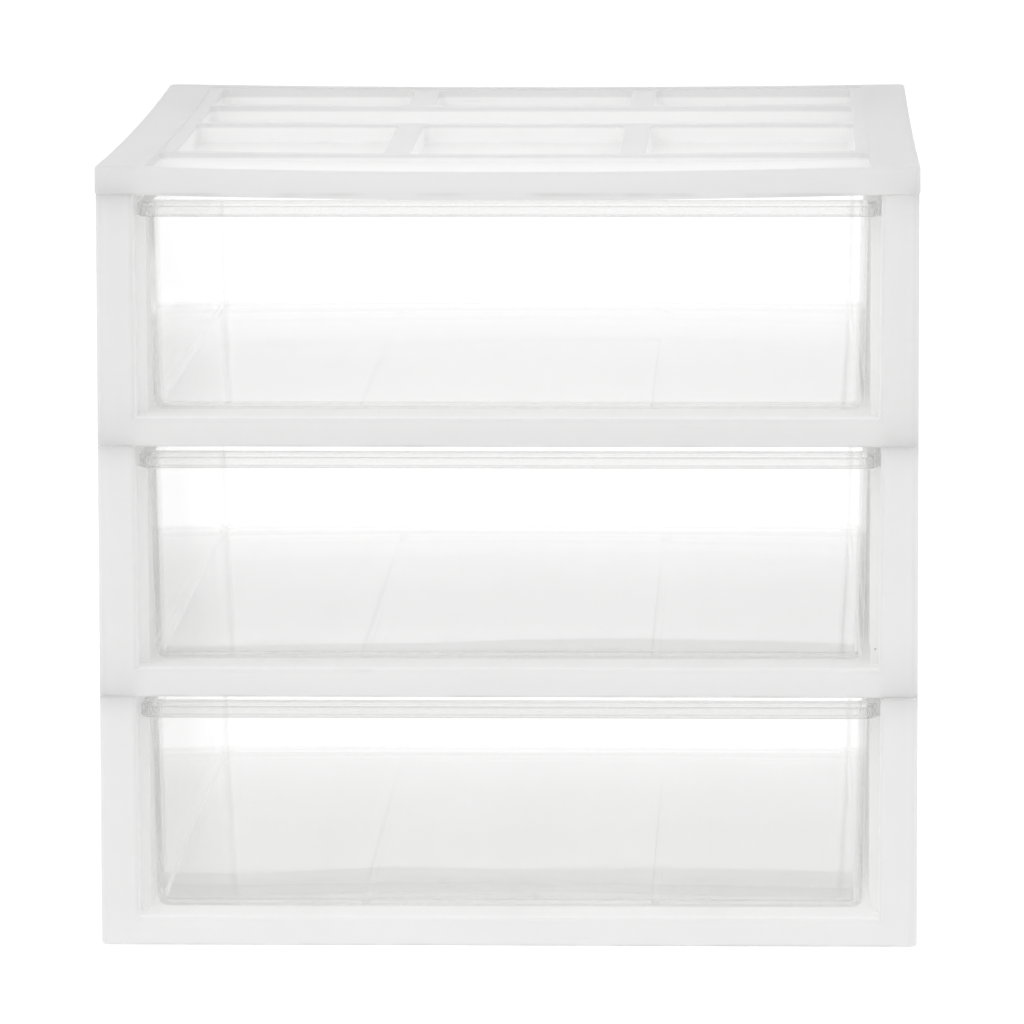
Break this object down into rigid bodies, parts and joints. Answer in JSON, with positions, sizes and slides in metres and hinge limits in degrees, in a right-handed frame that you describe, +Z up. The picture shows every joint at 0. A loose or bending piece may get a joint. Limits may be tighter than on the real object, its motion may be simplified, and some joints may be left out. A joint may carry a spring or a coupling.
{
  "type": "desktop drawer organizer",
  "caption": "Stacked white desktop organizer with clear sliding drawers and a lid moulded with open compartments.",
  "frame": {"origin": "middle of the base, on the surface the organizer stands on", "axes": "+Z up, +Y towards the back and the longest side, drawers open towards -Y, +X to the right seen from the front"},
  "size_m": [0.2606, 0.3406, 0.2492],
  "materials": {
    "white_plastic": "satin",
    "clear_plastic": "clear gloss"
  },
  "bodies": {
    "housing": {"lid": "white_plastic", "bottom_tier_frame": "white_plastic", "middle_tier_frame": "white_plastic", "top_tier_frame": "white_plastic"},
    "bottom_drawer_body": {"bottom_drawer": "clear_plastic"},
    "middle_drawer_body": {"middle_drawer": "clear_plastic"},
    "top_drawer_body": {"top_drawer": "clear_plastic"}
  },
  "joints": [
    {"name": "bottom_drawer_slide", "type": "slide", "parent": "housing", "child": "bottom_drawer_body", "axis": [0, -1, 0], "range_m": [0, 0.25]},
    {"name": "middle_drawer_slide", "type": "slide", "parent": "housing", "child": "middle_drawer_body", "axis": [0, -1, 0], "range_m": [0, 0.25]},
    {"name": "top_drawer_slide", "type": "slide", "parent": "housing", "child": "top_drawer_body", "axis": [0, -1, 0], "range_m": [0, 0.25]}
  ]
}
